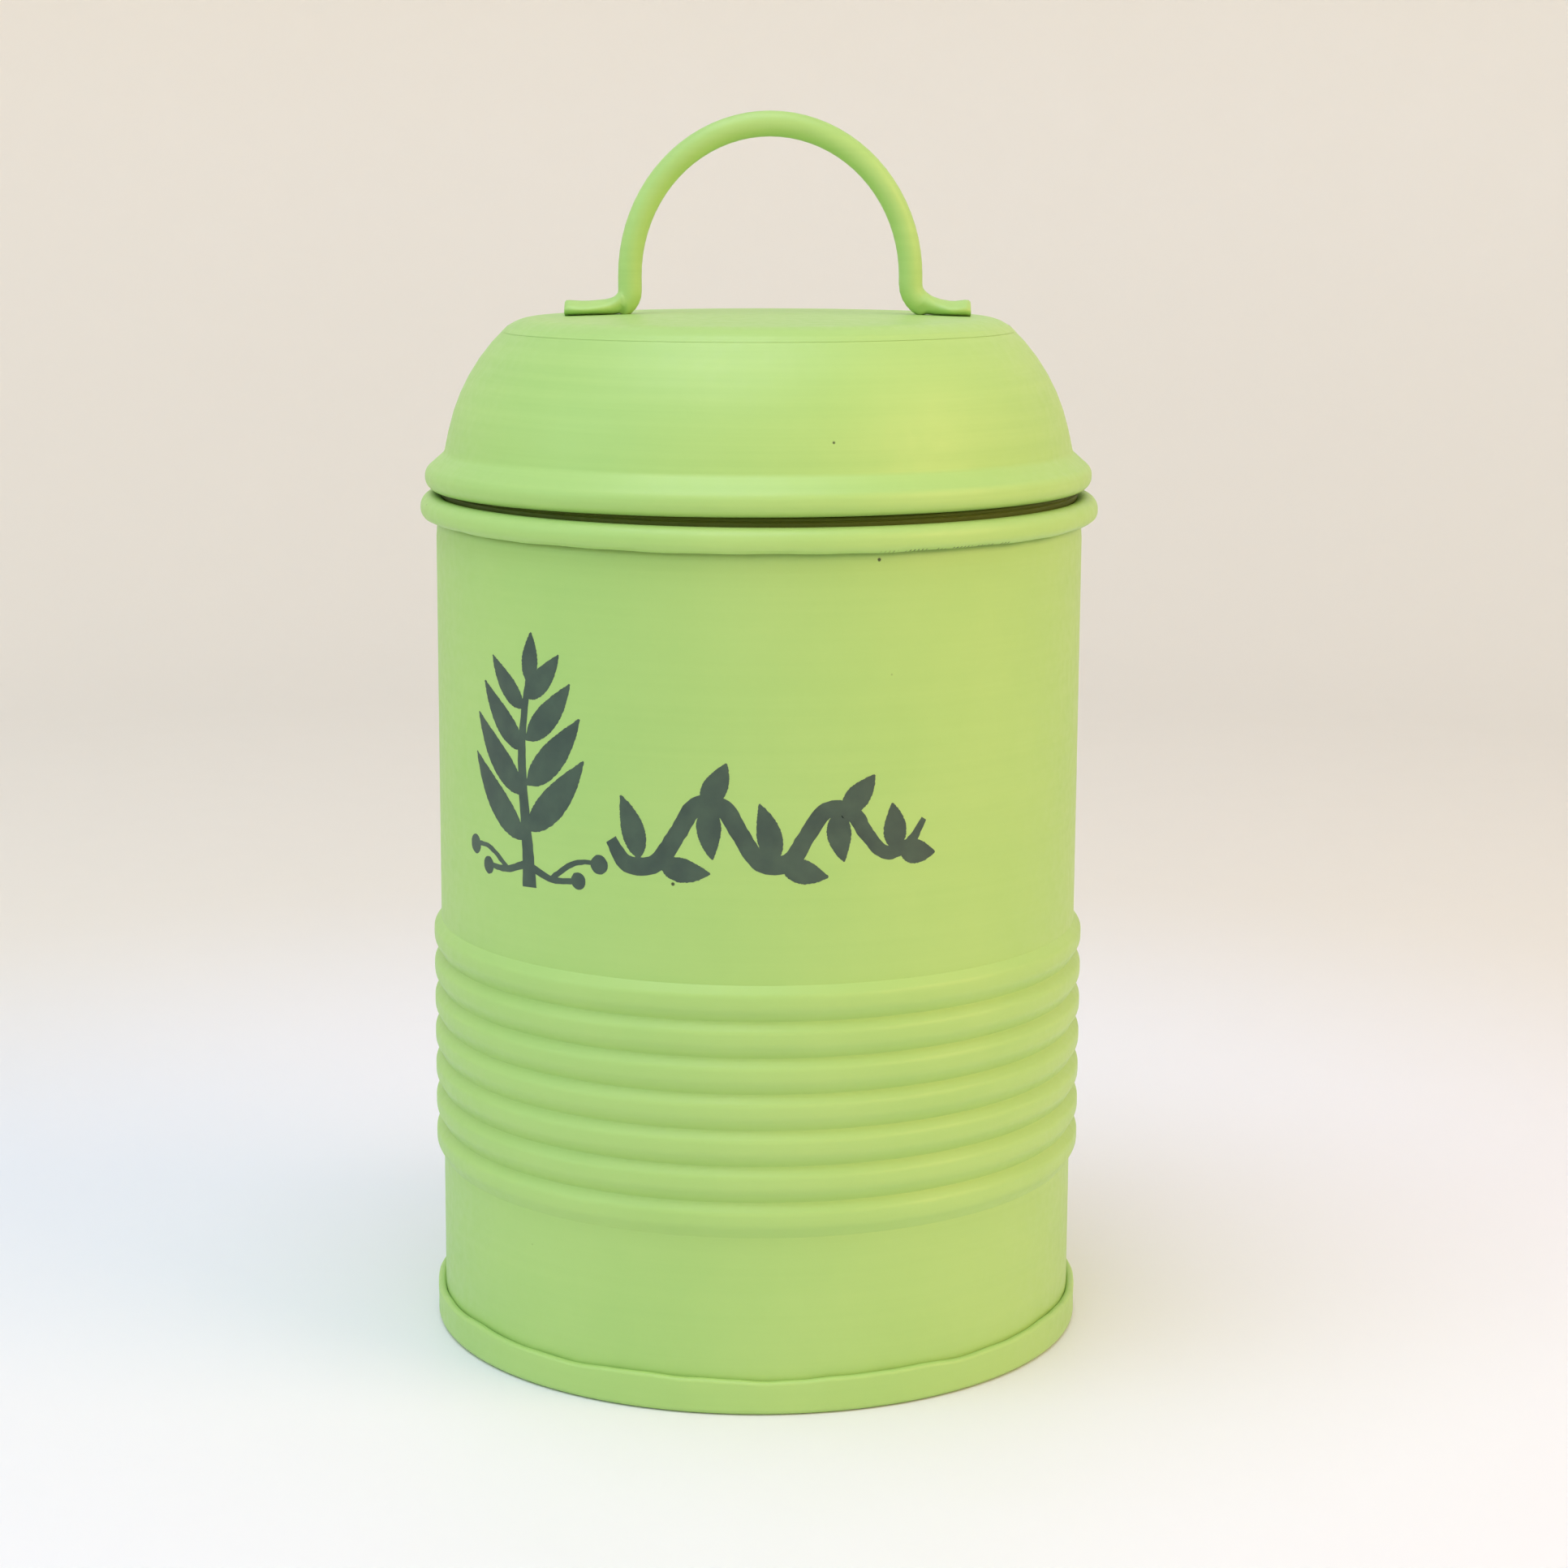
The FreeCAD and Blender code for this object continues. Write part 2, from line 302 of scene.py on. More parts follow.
def chipped_curl(finish):
    """Bare, dark nicks where the coat has not closed over the knurled lower edge of the curl."""
    tree = finish.node_tree
    place = tree.nodes["Texture Coordinate"].outputs["Object"]
    apart_axes = node(tree, "SeparateXYZ", _0=place)
    forward = node(tree, "Math", {"operation": "MULTIPLY"}, _0=apart_axes.outputs["Y"], _1=-1.0)
    around = node(tree, "Math", {"operation": "ARCTAN2"}, _0=apart_axes.outputs["X"],
                  _1=forward.outputs[0])
    knurl_pitch = 0.65
    knurl_radius = 51
    nick_height = curl_height - curl_radius + 0.27
    phase = node(tree, "Math", {"operation": "MULTIPLY"}, _0=around.outputs[0],
                 _1=math.tau * knurl_radius / knurl_pitch)
    knurl = node(tree, "Math", {"operation": "SINE"}, _0=phase.outputs[0])
    nick = node(tree, "MapRange", Value=knurl.outputs[0], From_Min=0.35, From_Max=0.6)
    # the nicks fade in and out at these azimuths, in radians to the right of the front
    left = node(tree, "MapRange", Value=around.outputs[0], From_Min=0.33, From_Max=0.45)
    right = node(tree, "MapRange", Value=around.outputs[0], From_Min=0.86, From_Max=0.78)
    off = node(tree, "Math", {"operation": "SUBTRACT"}, _0=apart_axes.outputs["Z"],
               _1=nick_height * MM)
    apart = node(tree, "Math", {"operation": "ABSOLUTE"}, _0=off.outputs[0])
    line = node(tree, "MapRange", Value=apart.outputs[0], From_Min=0.27 * MM,
                From_Max=0.18 * MM)
    patchy = node(tree, "TexNoise", Vector=place, Scale=1 / (2.2 * MM), Detail=1.0)
    kept = node(tree, "MapRange", Value=patchy.outputs["Fac"], From_Min=0.40, From_Max=0.5)
    share = nick.outputs[0]
    for part in (left, right, line, kept):
        share = node(tree, "Math", {"operation": "MULTIPLY"}, _0=share,
                     _1=part.outputs[0]).outputs[0]
    shader = tree.nodes["Principled BSDF"]
    coat = shader.inputs["Base Color"].links[0].from_socket
    bare = node(tree, "Mix", {"data_type": "RGBA"}, _0=share, _6=coat, _7=to_linear("#2E3A1C"))
    tree.links.new(bare.outputs[2], shader.inputs["Base Color"])
    return finish


def dressed(piece, finish):
    """Puts one material on the whole piece."""
    piece.data.materials.clear()
    piece.data.materials.append(finish)


wall_coat = chipped_curl(powder_coat("powder_coat_wall", 0.02))
dressed(tin_wall, wall_coat)
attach(tin_wall, "tin")
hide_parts("body_wall")

# ---------------------------------------------------------------------------
# Print: dark green enamel pressed through a stencil on the front, a sprig on the left and a
# trailing vine beside it. It is a film of ink on the coat, with slightly bled edges.
ink_film = 0.05
ink_face = wall_radius + 0.02
ink_draw = random.Random(7)


def smooth_line(points, steps=8):
    """A smooth line through given points; their third number is a half width."""
    ends = [points[0]] + points + [points[-1]]
    line = []
    for a, b, c, d in zip(ends, ends[1:], ends[2:], ends[3:]):
        for i in range(steps):
            t = i / steps
            line.append([0.5 * (2 * q + (r - p) * t + (2 * p - 5 * q + 4 * r - s) * t * t
                                + (3 * q - p - 3 * r + s) * t ** 3)
                         for p, q, r, s in zip(a, b, c, d)])
    return line + [list(points[-1])]


def stroke(points):
    """The outline of a brush stroke along a smooth line, with bled edges."""
    line = smooth_line(points)
    left, right = [], []
    bleed = 0.06
    for i, (x, z, half) in enumerate(line):
        before, after = line[max(0, i - 1)], line[min(len(line) - 1, i + 1)]
        dx, dz = after[0] - before[0], after[1] - before[1]
        length = math.hypot(dx, dz)
        for side, edge in ((1, left), (-1, right)):
            reach = side * (half + ink_draw.uniform(-bleed, bleed))
            edge.append((x - dz / length * reach, z + dx / length * reach))
    return left + right[::-1]


def leaf(x, z, turn, length, width, curl=0.0):
    """The outline of a pointed leaf that grows from (x, z) at an angle in degrees."""
    a = math.radians(turn)
    points = []
    steps = 7
    for i in range(steps + 1):
        t = i / steps
        half = width / 2 * math.sin(math.pi * t ** 0.8) ** 0.9 + 0.12
        bend = curl * t * t
        points.append((x + (math.cos(a) * t - math.sin(a) * bend) * length,
                       z + (math.sin(a) * t + math.cos(a) * bend) * length, half))
    return stroke(points)


def berry(x, z, radius):
    """The outline of a round berry."""
    bleed = 0.05
    count = 20
    return [(x + (radius + ink_draw.uniform(-bleed, bleed)) * math.cos(math.tau * i / count),
             z + (radius + ink_draw.uniform(-bleed, bleed)) * math.sin(math.tau * i / count))
            for i in range(count)]


def printed(name, outlines):
    """One film of ink: flat outlines are fused, sliced each millimetre, wrapped on the wall."""
    films = []
    for outline in outlines:
        bpy.ops.object.select_all(action="DESELECT")
        bpy.ops.mesh.primitive_circle_add(vertices=len(outline), radius=MM, fill_type="NGON")
        film = bpy.context.object
        for vertex, (x, z) in zip(film.data.vertices, outline):
            vertex.co = (x * MM, 0, z * MM)
        bpy.ops.object.mode_set(mode="EDIT")
        bpy.ops.mesh.select_all(action="SELECT")
        bpy.ops.mesh.extrude_region_move(TRANSFORM_OT_translate={"value": (0, ink_film * MM, 0)})
        bpy.ops.mesh.select_all(action="SELECT")
        bpy.ops.mesh.normals_make_consistent(inside=False)
        bpy.ops.object.mode_set(mode="OBJECT")
        films.append(film)
    sheet = films[0]
    sheet.name = name
    for film in films[1:]:
        bpy.ops.object.select_all(action="DESELECT")
        sheet.select_set(True)
        bpy.context.view_layer.objects.active = sheet
        fuse = sheet.modifiers.new("fuse", "BOOLEAN")
        fuse.operation = "UNION"
        fuse.object = film
        bpy.ops.object.modifier_apply(modifier="fuse")
        bpy.data.objects.remove(film)
    bpy.ops.object.mode_set(mode="EDIT")
    low = min(x for outline in outlines for x, z in outline)
    high = max(x for outline in outlines for x, z in outline)
    for i in range(1, math.ceil(high - low)):
        bpy.ops.mesh.select_all(action="SELECT")
        bpy.ops.mesh.bisect(plane_co=((low + i) * MM, 0, 0), plane_no=(1, 0, 0))
    bpy.ops.mesh.select_all(action="SELECT")
    bpy.ops.mesh.remove_doubles(threshold=0.004 * MM)
    bpy.ops.object.mode_set(mode="OBJECT")
    for vertex in sheet.data.vertices:
        around = vertex.co.x / MM / wall_radius
        out = ink_face if vertex.co.y / MM > ink_film / 2 else ink_face - ink_film
        height = vertex.co.z
        out += rolled_by_hand(wall_radius, around, height / MM)[0]
        vertex.co = (out * MM * math.sin(around), -out * MM * math.cos(around), height)
    bpy.ops.object.mode_set(mode="EDIT")
    bpy.ops.mesh.select_all(action="SELECT")
    bpy.ops.mesh.normals_make_consistent(inside=False)
    finished(sheet)
    return sheet


sprig = [stroke([(-36.6, 76.6, 1.5), (-37.0, 83.0, 1.15), (-37.8, 91.0, 0.95), (-38.0, 98.0, 0.8),
                 (-37.0, 105.0, 0.6), (-36.4, 108.0, 0.5)])]
for height, length, width in ((83.5, 16.5, 4.5), (90.3, 15.5, 4.3), (97.0, 13.0, 3.8),
                              (103.2, 10.0, 3.2)):
    sprig.append(leaf(-37.4, height, 147, length, width, -0.2))
    sprig.append(leaf(-37.2, height + 1.6, 36, length * 0.95, width, 0.18))
sprig.append(leaf(-36.6, 107.0, 82, 7.6, 3.0, 0.05))
for x, z, radius in ((-50.2, 81.0, 1.5), (-46.4, 78.4, 1.35), (-23.6, 81.6, 1.45),
                     (-27.2, 78.8, 1.3)):
    sprig.append(berry(x, z, radius))
sprig.append(stroke([(-37.0, 80.2, 0.6), (-41.6, 78.6, 0.5), (-46.4, 78.6, 0.4)]))
sprig.append(stroke([(-41.4, 78.7, 0.45), (-46.0, 81.2, 0.4), (-50.2, 81.2, 0.35)]))
sprig.append(stroke([(-36.8, 80.0, 0.6), (-32.0, 78.4, 0.5), (-27.2, 78.8, 0.4)]))
sprig.append(stroke([(-32.2, 78.5, 0.45), (-27.8, 81.4, 0.4), (-23.6, 81.8, 0.35)]))
printed_sprig = printed("printed_sprig", sprig)

vine = [stroke([(-21.6, 85.6, 0.9), (-19.0, 82.2, 1.3), (-14.6, 82.6, 1.35), (-11.4, 87.0, 1.3),
                (-8.6, 91.2, 1.35), (-4.6, 91.0, 1.4), (-2.0, 87.0, 1.3), (0.8, 83.2, 1.35),
                (4.8, 83.2, 1.35), (7.4, 87.0, 1.25), (10.2, 90.6, 1.25), (14.0, 90.2, 1.25),
                (16.4, 86.8, 1.1), (19.4, 84.0, 1.0), (23.0, 85.2, 0.8), (25.4, 88.6, 0.45)])]
vine_leaves = ((-17.2, 83.0, 98, 9.5), (-14.0, 82.6, -18, 7.5), (-6.6, 91.6, -96, 8.0),
               (-7.6, 91.4, 52, 7.0), (2.6, 82.9, 94, 9.0), (3.8, 83.0, -26, 7.0),
               (12.0, 90.6, -92, 7.5), (12.6, 90.4, 38, 7.0), (20.6, 84.2, 84, 7.0),
               (21.4, 84.6, -20, 6.0))
for x, z, turn, length in vine_leaves:
    vine.append(leaf(x, z, turn, length, 3.4, 0.16))
printed_vine = printed("printed_vine", vine)

enamel = material("stencilled_enamel_ink")
enamel_tree = enamel.node_tree
enamel_place = node(enamel_tree, "TexCoord").outputs["Object"]
# the ink takes the coat's peel and is a little patchy where the stencil held less
enamel_peel = node(enamel_tree, "TexNoise", Vector=enamel_place, Scale=1 / (1.6 * MM), Detail=2.0)
enamel_patch = node(enamel_tree, "TexNoise", Vector=enamel_place, Scale=1 / (4 * MM), Detail=4.0)
enamel_tint = node(enamel_tree, "ValToRGB", Fac=enamel_patch.outputs["Fac"])
enamel_tint.color_ramp.elements[0].position = 0.35
enamel_tint.color_ramp.elements[0].color = to_linear("#34483F")
enamel_tint.color_ramp.elements[1].position = 0.7
enamel_tint.color_ramp.elements[1].color = to_linear("#425848")
enamel_bump = node(enamel_tree, "Bump", Strength=0.25, Distance=0.08 * MM,
                   Height=enamel_peel.outputs["Fac"])
enamel_shader = node(enamel_tree, "BsdfPrincipled", Base_Color=enamel_tint.outputs["Color"],
                     IOR=1.5, Roughness=0.5, Normal=enamel_bump.outputs[0])
enamel_tree.links.new(enamel_shader.outputs[0], enamel_tree.nodes["Material Output"].inputs[0])
for film in (printed_sprig, printed_vine):
    dressed(film, enamel)
    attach(film, "tin")

# ---------------------------------------------------------------------------
# Side seam: the wall's two edges overlap by 5 mm at the back and are welded, so one edge stands
# one sheet proud. It follows the ribs, because they are pressed after the tube is welded.
seam_width = 5.0
seam_turn = seam_width / wall_radius
seam_foot = 6.9
seam_top = curl_height - 5.4
seam_corners = [(wall_radius, seam_foot, 0)] + rib_corners(wall_radius)
seam_corners.append((wall_radius, seam_top, 0))
side_seam = spun("side_seam", divided(rounded(seam_corners), 4.0), steps=5,
                 start_degrees=90 - math.degrees(seam_turn) / 2, angle=seam_turn)
thickened(side_seam, wall_sheet, 1)
edges = side_seam.modifiers.new("soft_edge", "BEVEL")
edges.width = 0.12 * MM
edges.segments = 2
edges.limit_method = "ANGLE"
edges.angle_limit = math.radians(60)
bpy.ops.object.modifier_apply(modifier="soft_edge")
bpy.ops.object.shade_smooth_by_angle(angle=math.radians(50))
dressed(side_seam, wall_coat)
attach(side_seam, "tin")

# ---------------------------------------------------------------------------
# Base: a pressed steel disc with a raised panel. Its edge is folded up over the wall's and
# hammered against it, which leaves a low band whose top edge wavers.
base_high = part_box("base_pan")[1]
band_radius = base_high[0] / MM
band_height = base_high[2] / MM
panel_rise = 1.0              # how far the middle panel stands off the table
base_corners = [(0, panel_rise, 0),
                (band_radius - 8.5, panel_rise, 1.0),
                (band_radius - 6.5, 0, 1.0),
                (band_radius, 0, 0.9),
                (band_radius, band_height, 0.6),
                (wall_radius + 0.05, band_height, 0.5),
                (wall_radius - 0.02, band_height - 1.4, 0)]
tin_base = spun("tin_base", divided(rounded(base_corners), 3.0), steps=288)
thickened(tin_base, wall_sheet, -1)


def hammered(radius, azimuth, z):
    """The seam is knocked up in short blows: flats along the band and a wavering top edge."""
    if radius < wall_radius - 0.5:
        return 0.0, 0.0
    flats = 0.10 * abs(math.sin(14 * azimuth + 0.4 * math.sin(3 * azimuth)))
    waver = (0.45 + 0.24 * math.sin(9 * azimuth + 1.1) + 0.10 * math.sin(21 * azimuth + 0.3)
             + 0.05 * math.sin(41 * azimuth + 2 * math.sin(5 * azimuth)))
    share = min(1, max(0, (z - 1.5) / (band_height - 1.5)))
    low = min(1, max(0, (z - 0.5) / 1.0))
    return -0.10 * (1 - share) - flats * low, -0.75 * waver * share


nudged(tin_base, hammered)
dressed(tin_base, wall_coat)
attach(tin_base, "tin")
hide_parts("base_pan")

# ---------------------------------------------------------------------------
# Rim wire: 3 mm drawn steel wire inside the curl. The curl hides all of it.
drawn_wire = material("drawn_steel_wire")
wire_tree = drawn_wire.node_tree
wire_place = node(wire_tree, "TexCoord").outputs["Object"]
wire_scale = node(wire_tree, "TexNoise", Vector=wire_place, Scale=1 / (2 * MM), Detail=3.0)
wire_gloss = node(wire_tree, "MapRange", Value=wire_scale.outputs["Fac"], To_Min=0.25, To_Max=0.5)
wire_shader = node(wire_tree, "BsdfPrincipled", Base_Color=to_linear("#B9BABB"), Metallic=1.0,
                   Roughness=wire_gloss.outputs[0])
wire_tree.links.new(wire_shader.outputs[0], wire_tree.nodes["Material Output"].inputs[0])
dressed(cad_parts["rim_wire"], drawn_wire)

# ---------------------------------------------------------------------------
# Lid: one steel sheet pressed and spun to a dome. Its edge is folded out, down and back in as a
# hollow bead round the collar's lip.
dome_low, dome_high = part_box("lid_dome")
bead_bottom = dome_low[2] / MM - 0.6
crown_top = dome_high[2] / MM
bead_outside = dome_high[0] / MM
bead_radius = 1.95
bead_height = bead_bottom + bead_radius
dome_foot = bead_outside - 2.75
dome_start = dome_low[2] / MM + 5.1
side_top = dome_start + 12.45
shoulder_radius = dome_foot - 3.03
crown_radius = shoulder_radius - 8.45
crown_drop = 0.72
lid_sheet = 0.40
crown_steps = 16              # the crown is drawn in sixteenths, and the last four are its bend


def crown_surface(radius):
    """Height of the gently crowned top at a distance from the lid's middle."""
    return crown_top - crown_drop * (radius / crown_radius) ** 2


lid_corners = [(crown_radius * i / crown_steps, crown_surface(crown_radius * i / crown_steps), 0)
               for i in range(crown_steps - 3)]
lid_corners += [(crown_radius, crown_surface(crown_radius), 6.7),
                (shoulder_radius, side_top, 30.0),
                (dome_foot - 0.25, bead_height + 3.75, 1.3),
                (bead_outside, bead_height + 1.15, bead_radius),
                (bead_outside, bead_bottom, bead_radius),
                (mouth_radius - 0.2, bead_bottom, 0)]
lid_shell = spun("lid_shell", divided(rounded(lid_corners, 6), 2.2), steps=288)
thickened(lid_shell, lid_sheet, -1)


seat_lean = (math.radians(0.7), math.radians(0.3))     # front up, left down
seat_height = 132.7
seat_shift = 0.0001                                     # metres to the left


def seated(piece):
    """Leans a piece of the lid as the lid sits on its seal, a little low at the back left."""
    for vertex in piece.data.vertices:
        x, y, z = vertex.co
        rise = z - seat_height * MM
        vertex.co = (x - rise * seat_lean[1] - seat_shift, y + rise * seat_lean[0],
                     z - y * seat_lean[0] + x * seat_lean[1])
    piece.data.update()


def pressed(radius, azimuth, z):
    """The bead is rolled by hand, so it is very slightly uneven."""
    share = min(1, max(0, (bead_height + 5 - z) / 3))
    return share * (-0.05 + 0.04 * math.sin(3 * azimuth + 0.5)), 0.0


nudged(lid_shell, pressed)
seated(lid_shell)
lid_coat = powder_coat("powder_coat_lid", 0.07)
dressed(lid_shell, lid_coat)
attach(lid_shell, "lid")
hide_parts("lid_dome")

# ---------------------------------------------------------------------------
# Collar: a plain steel sleeve that plugs the mouth. Its top edge is turned out and gripped inside
# the lid's bead, and its lower edge is drawn in a little so that it finds the mouth.
collar_low, collar_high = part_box("lid_collar")
collar_bottom = collar_low[2] / MM
collar_top = collar_high[2] / MM
collar_lip = collar_high[0] / MM
collar_radius = mouth_radius - 0.35
collar_sheet = 0.37
collar_corners = [(collar_radius - 0.5, collar_bottom, 0),
                  (collar_radius, collar_bottom + 1.5, 1.0),
                  (collar_radius, collar_top - collar_sheet, 0.43),
                  (collar_lip, collar_top - collar_sheet, 0)]
lid_sleeve = spun("lid_sleeve", divided(rounded(collar_corners), 2.0), steps=240)
thickened(lid_sleeve, collar_sheet, -1)
seated(lid_sleeve)
dressed(lid_sleeve, lid_coat)
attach(lid_sleeve, "lid")
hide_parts("lid_collar")

# ---------------------------------------------------------------------------
# Seal: a moulded silicone ring stretched round the collar, with two fine sealing lips above and
# below. It fills the gap between the rim and the lid's bead and sits back in its shadow.
# Its dark olive colour is painted shade of that gap, with a painted green reflection of the coat.
seal_low, seal_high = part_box("lid_seal")
seal_bottom = seal_low[2] / MM
seal_top = seal_high[2] / MM
seal_inside = collar_radius + 0.1
seal_outside = seal_inside + 0.9
seal_corners = [(seal_inside, seal_bottom - 0.7, 0),
                (seal_inside + 0.35, seal_bottom - 0.95, 0.1),
                (seal_outside, seal_bottom - 0.3, 0.15),
                (seal_outside, seal_bottom + 0.4, 0.1),
                (seal_outside - 0.3, seal_bottom + 0.55, 0.08),
                (seal_outside, seal_bottom + 0.7, 0.1),
                (seal_outside - 0.2, seal_top, 0.2),
                (seal_inside, seal_top, 0),
                (seal_inside, seal_bottom - 0.7, 0)]
seal_ring = spun("seal_ring", rounded(seal_corners, 30), steps=192)
gap_shade_silicone = material("silicone_painted_gap_shade")
silicone_tree = gap_shade_silicone.node_tree
silicone_place = node(silicone_tree, "TexCoord").outputs["Object"]
bloom = node(silicone_tree, "TexNoise", Vector=silicone_place, Scale=1 / (3 * MM), Detail=4.0)
bloom_gloss = node(silicone_tree, "MapRange", Value=bloom.outputs["Fac"], To_Min=0.5, To_Max=0.75)
bloom_bump = node(silicone_tree, "Bump", Strength=0.1, Distance=0.01 * MM,
                  Height=bloom.outputs["Fac"])
# the dark olive base colour is painted shade of the gap and a painted green reflection, not the
# silicone's own colour
silicone_shader = node(silicone_tree, "BsdfPrincipled", Base_Color=to_linear("#4C5A06"), IOR=1.41,
                       Roughness=bloom_gloss.outputs[0], Normal=bloom_bump.outputs[0])
silicone_tree.links.new(silicone_shader.outputs[0],
                        silicone_tree.nodes["Material Output"].inputs[0])
dressed(seal_ring, gap_shade_silicone)
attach(seal_ring, "seal")
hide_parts("lid_seal")

# ---------------------------------------------------------------------------
# Handle: 3.6 mm round steel wire bent to an arch. Each leg turns outwards into a foot hammered
# flat and spot-welded to the crown, which leaves a shallow electrode dent.
handle_low, handle_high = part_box("handle")
wire_radius = 1.82
handle_top = handle_high[2] / MM
left_toe = handle_low[0] / MM
right_toe = handle_high[0] / MM
handle_middle = (left_toe + right_toe) / 2 + 0.2
arch_radius = (right_toe - left_toe) / 2 - 9.8
foot_reach = {-1: 10.0, 1: 9.2}      # from each leg's middle to its toe
arch_rise = arch_radius + 1.5
handle_clearance = 0.02              # room above the arch for the lid's lean
arch_height = handle_top - handle_clearance - wire_radius * arch_rise / arch_radius - arch_rise
foot_axis = 0.95                     # the wire's middle above the crown where it turns out
ease_height = 3.0                    # the flattening starts this far above the foot
ring_points = 20


def near(mesh, test):
    """Selects in edit mode the points whose place, in millimetres, passes the test."""
    bpy.ops.mesh.select_all(action="DESELECT")
    bpy.ops.object.mode_set(mode="OBJECT")
    for vertex in mesh.vertices:
        vertex.select = test(*(c / MM for c in vertex.co))
    bpy.ops.object.mode_set(mode="EDIT")


bpy.ops.object.select_all(action="DESELECT")
arch_foot = ((handle_middle - arch_radius) * MM, 0, arch_height * MM)
bpy.ops.mesh.primitive_circle_add(vertices=ring_points, radius=wire_radius * MM,
                                  location=arch_foot)
handle_wire = bpy.context.object
handle_wire.name = "handle_wire"
bpy.ops.object.transform_apply(location=True, rotation=True, scale=True)
bpy.ops.object.mode_set(mode="EDIT")
bpy.ops.mesh.select_all(action="SELECT")
bpy.ops.mesh.spin(steps=40, angle=math.pi, axis=(0, -1, 0),
                  center=(handle_middle * MM, 0, arch_height * MM))


def foot(side, bend_radius, stations):
    """Carries one end of the arch down, round its bend and out along the crown.

    stations are (distance from the toe, width, thickness) of the flattened foot, bend to toe.
    """
    leg_x = handle_middle + side * arch_radius
    near(handle_wire.data, lambda x, y, z: abs(x - leg_x) < wire_radius + 0.1
         and abs(z - arch_height) < 0.01)
    bend_top = crown_surface(arch_radius) + foot_axis + bend_radius
    drop = arch_height - bend_top
    leg_steps = 3
    down = (0, 0, -drop / leg_steps * MM)
    for _ in range(leg_steps):
        bpy.ops.mesh.extrude_region_move(TRANSFORM_OT_translate={"value": down})
    hub = ((leg_x + side * bend_radius) * MM, 0, bend_top * MM)
    bend_steps = 7
    turn = math.radians(90 / bend_steps)
    for _ in range(bend_steps):
        bpy.ops.mesh.extrude_region_move(TRANSFORM_OT_translate={"value": (0, 0, 0)})
        bpy.ops.transform.rotate(value=side * turn, orient_axis="Y", center_override=hub)
    toe = handle_middle + side * (arch_radius + foot_reach[side])
    at = leg_x + side * bend_radius
    for distance, width, thickness in stations:
        station = toe - side * distance
        bpy.ops.mesh.extrude_region_move(
            TRANSFORM_OT_translate={"value": ((station - at) * MM, 0, 0)})
        at = station
    bpy.ops.mesh.edge_face_add()


left_stations = [(7.0, 4.6, 2.3), (6.2, 5.4, 2.0), (5.0, 5.9, 1.85), (3.8, 6.1, 1.7),
                 (2.6, 6.1, 1.7), (1.4, 5.9, 1.85), (0.7, 5.5, 1.95), (0.2, 4.9, 1.9),
                 (0.0, 4.5, 1.5)]
right_stations = [(5.4, 4.6, 2.6), (4.6, 5.2, 2.15), (3.9, 5.8, 1.95), (3.1, 6.0, 1.75),
                  (2.3, 6.0, 1.75), (1.4, 5.7, 1.95), (0.8, 5.3, 2.1), (0.25, 4.9, 2.0),
                  (0.0, 4.4, 1.6)]
foot(-1, 2.6, left_stations)
foot(1, 3.7, right_stations)
finished(handle_wire)

# the arch is stretched a little taller than a half circle, and the feet are hammered flat
for vertex in handle_wire.data.vertices:
    x, y, z = (c / MM for c in vertex.co)
    if z > arch_height:
        vertex.co.z = (arch_height + (z - arch_height) * arch_rise / arch_radius) * MM
        continue
    side = -1 if x < handle_middle else 1
    stations = left_stations if side < 0 else right_stations
    away = side * (handle_middle - x) + arch_radius + foot_reach[side]
    axis_height = crown_surface(arch_radius) + foot_axis
    table = [(stations[0][0] + 2.0, 2 * wire_radius, 2 * wire_radius)] + stations
    if z > axis_height + ease_height or away > table[0][0]:
        continue
    for (far, wide_far, thick_far), (close, wide_close, thick_close) in zip(table, table[1:]):
        if far >= away - 1e-6 >= close - 2e-3:
            t = min(1, (far - away) / (far - close))
            width = wide_far + (wide_close - wide_far) * t
            thickness = thick_far + (thick_close - thick_far) * t
            break
    ease = min(1, (axis_height + ease_height - z) / 2.0)
    seat = crown_surface(x) + thickness / 2
    thin = thickness / (2 * wire_radius)
    vertex.co.y = y * (1 + (width / (2 * wire_radius) - 1) * ease) * MM
    vertex.co.z = (z + (seat + (z - axis_height) * thin - z) * ease) * MM
handle_wire.data.update()
seated(handle_wire)
dressed(handle_wire, lid_coat)
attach(handle_wire, "lid")
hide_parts("handle")

# ---------------------------------------------------------------------------
# Floor, lights and camera. The floor is a wide bowl: white as a table near the tin and cream as a
# wall further out, with one soft bend between them.
floor_drop = -0.02
bowl_radius = 900
bowl_corners = [(0, floor_drop, 0), (300, floor_drop, 0), (bowl_radius, floor_drop, 300),
                (bowl_radius, 1300, 0)]
floor = spun("floor", rounded(bowl_corners), steps=96)
pale = material("white_table_and_cream_wall")
pale_tree = pale.node_tree
pale_place = node(pale_tree, "TexCoord").outputs["Object"]
pale_noise = node(pale_tree, "TexNoise", Vector=pale_place, Scale=60.0, Detail=3.0)
pale_gloss = node(pale_tree, "MapRange", Value=pale_noise.outputs["Fac"], To_Min=0.45, To_Max=0.6)
pale_reach = node(pale_tree, "VectorMath", {"operation": "LENGTH"}, _0=pale_place)
pale_wall = node(pale_tree, "MapRange", {"interpolation_type": "SMOOTHSTEP"},
                 Value=pale_reach.outputs["Value"], From_Min=0.14, From_Max=0.34)
pale_colour = node(pale_tree, "Mix", {"data_type": "RGBA"}, _0=pale_wall.outputs[0],
                   _6=to_linear("#EFF0F2"), _7=to_linear("#E9E5DA"))
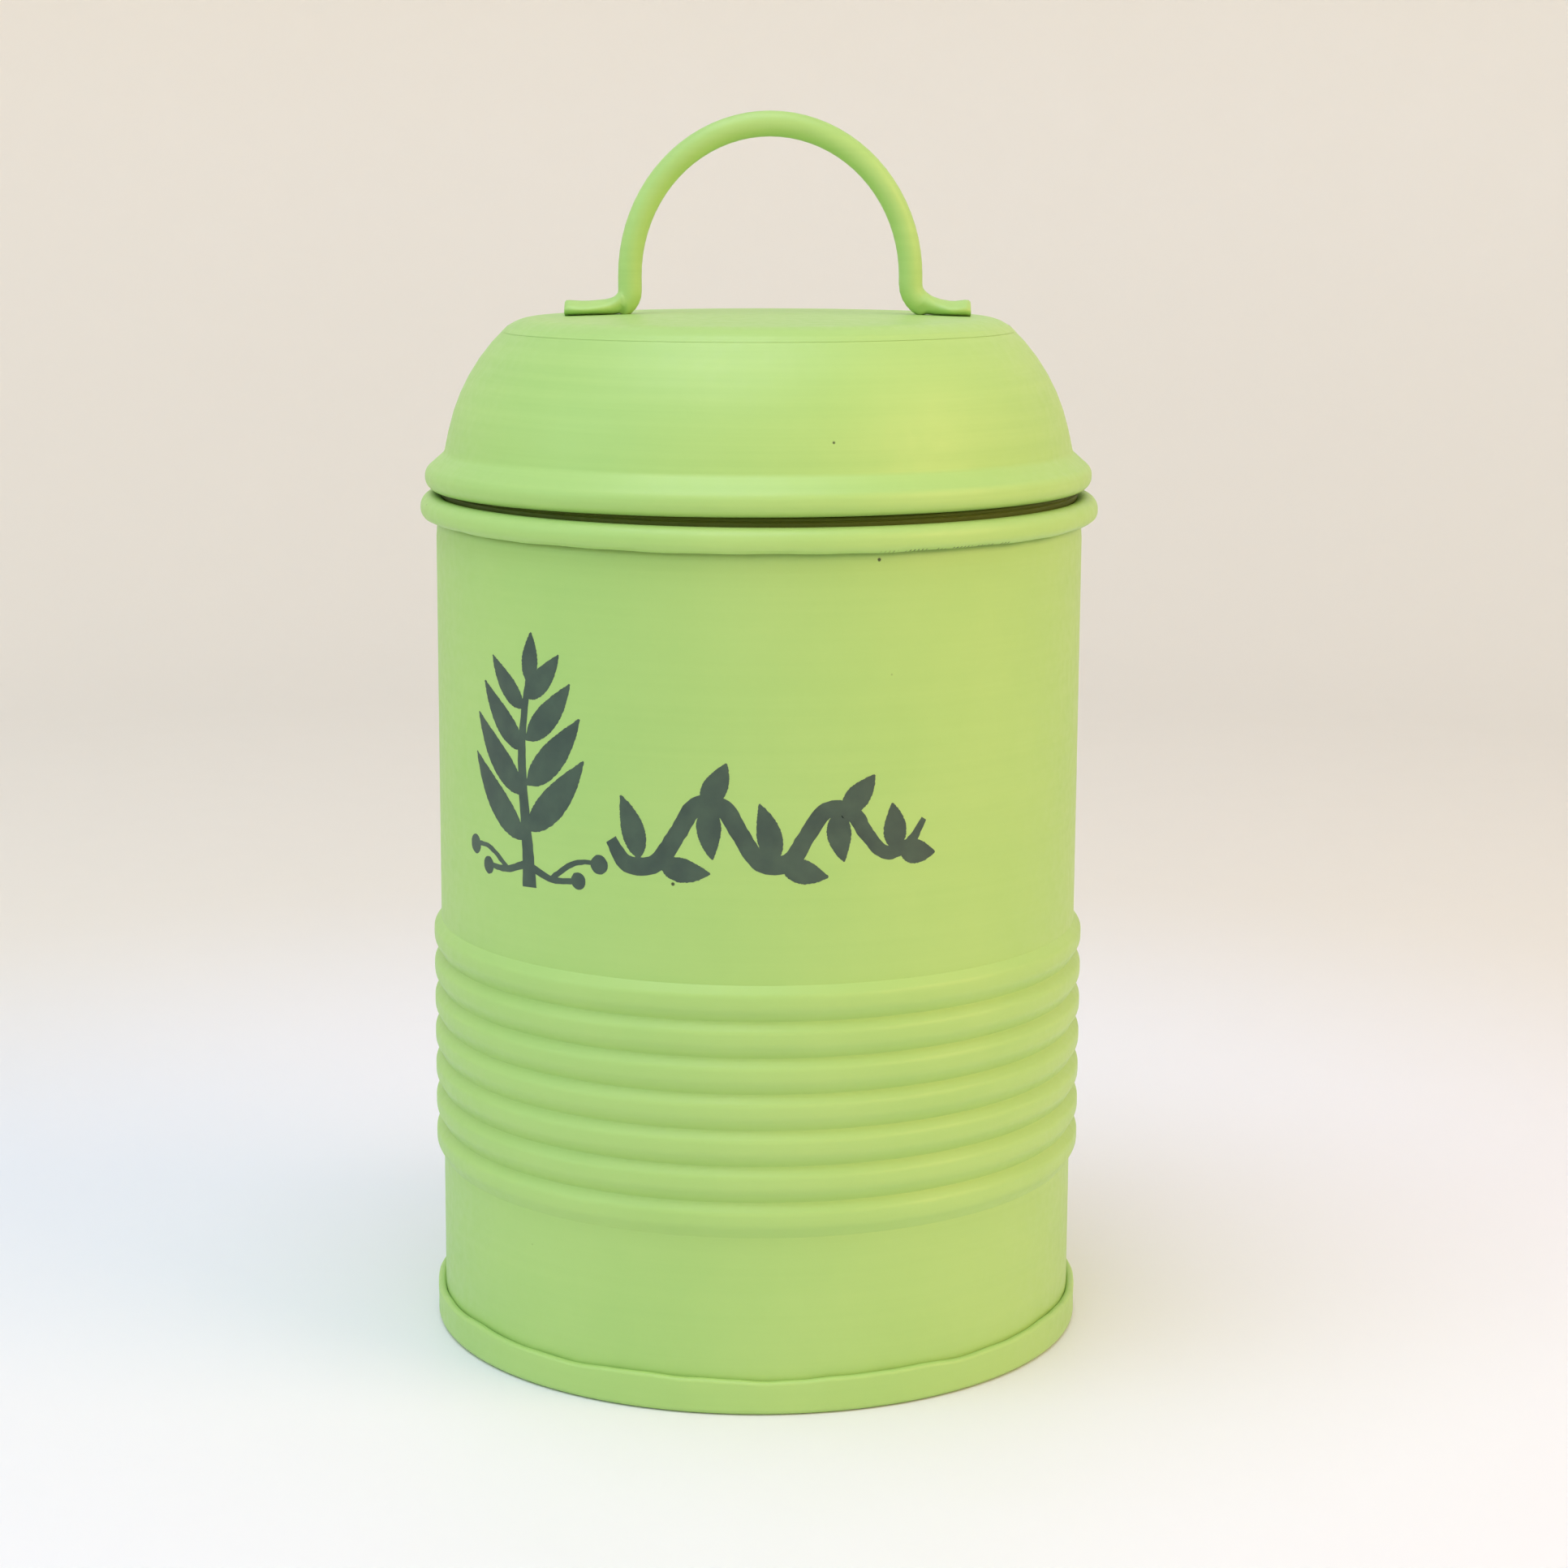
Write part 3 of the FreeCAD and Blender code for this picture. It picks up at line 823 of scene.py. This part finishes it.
pale_shader = node(pale_tree, "BsdfPrincipled", Base_Color=pale_colour.outputs[2],
                   Roughness=pale_gloss.outputs[0])
pale_tree.links.new(pale_shader.outputs[0], pale_tree.nodes["Material Output"].inputs[0])
dressed(floor, pale)


def soft_light(name, place, target, size, power, colour):
    """A large softbox aimed at a point."""
    bpy.ops.object.light_add(type="AREA", location=place)
    lamp = bpy.context.object
    lamp.name = name
    lamp.data.shape = "RECTANGLE"
    lamp.data.size = size[0]
    lamp.data.size_y = size[1]
    lamp.data.energy = power
    lamp.data.color = to_linear(colour)[:3]
    lamp.visible_camera = False
    away = [p - t for p, t in zip(place, target)]
    flat = math.hypot(away[0], away[1])
    lamp.rotation_euler = (math.atan2(flat, away[2]), 0, math.atan2(away[0], -away[1]))
    return lamp


soft_light("ceiling", (-0.18, -0.24, 1.15), (0, 0, 0.12), (0.95, 0.95), 8.2, "#DFE4FF")
soft_light("left_window", (-0.78, -0.35, 0.35), (0, 0, 0.09), (0.7, 0.6), 1.7, "#84E6E6")
soft_light("right_lamp", (0.78, -0.35, 0.40), (0, 0, 0.09), (0.6, 0.6), 5.4, "#FFCB84")
soft_light("front_bounce", (0.0, -0.84, 0.22), (0, 0, 0.08), (0.6, 0.36), 0.3, "#FFFFFF")

world = bpy.data.worlds.new("cream_room")
bpy.context.scene.world = world
world.use_nodes = True
world.node_tree.nodes["Background"].inputs["Color"].default_value = to_linear("#E6F4FF")
world.node_tree.nodes["Background"].inputs["Strength"].default_value = 0.42

camera_data = bpy.data.cameras.new("camera")
camera_data.lens = 78.5
camera_data.sensor_width = 36.0
camera_data.clip_start = 0.01
camera = bpy.data.objects.new("camera", camera_data)
bpy.context.collection.objects.link(camera)
camera_pitch = 10.748
camera_roll = 0.30
camera.rotation_mode = "ZYX"
camera.location = (4.05 * MM, -529.3 * MM, 185.7 * MM)
camera.rotation_euler = (math.radians(90 - camera_pitch), 0, math.radians(camera_roll))
bpy.context.scene.camera = camera
bpy.context.scene.view_settings.view_transform = "Standard"
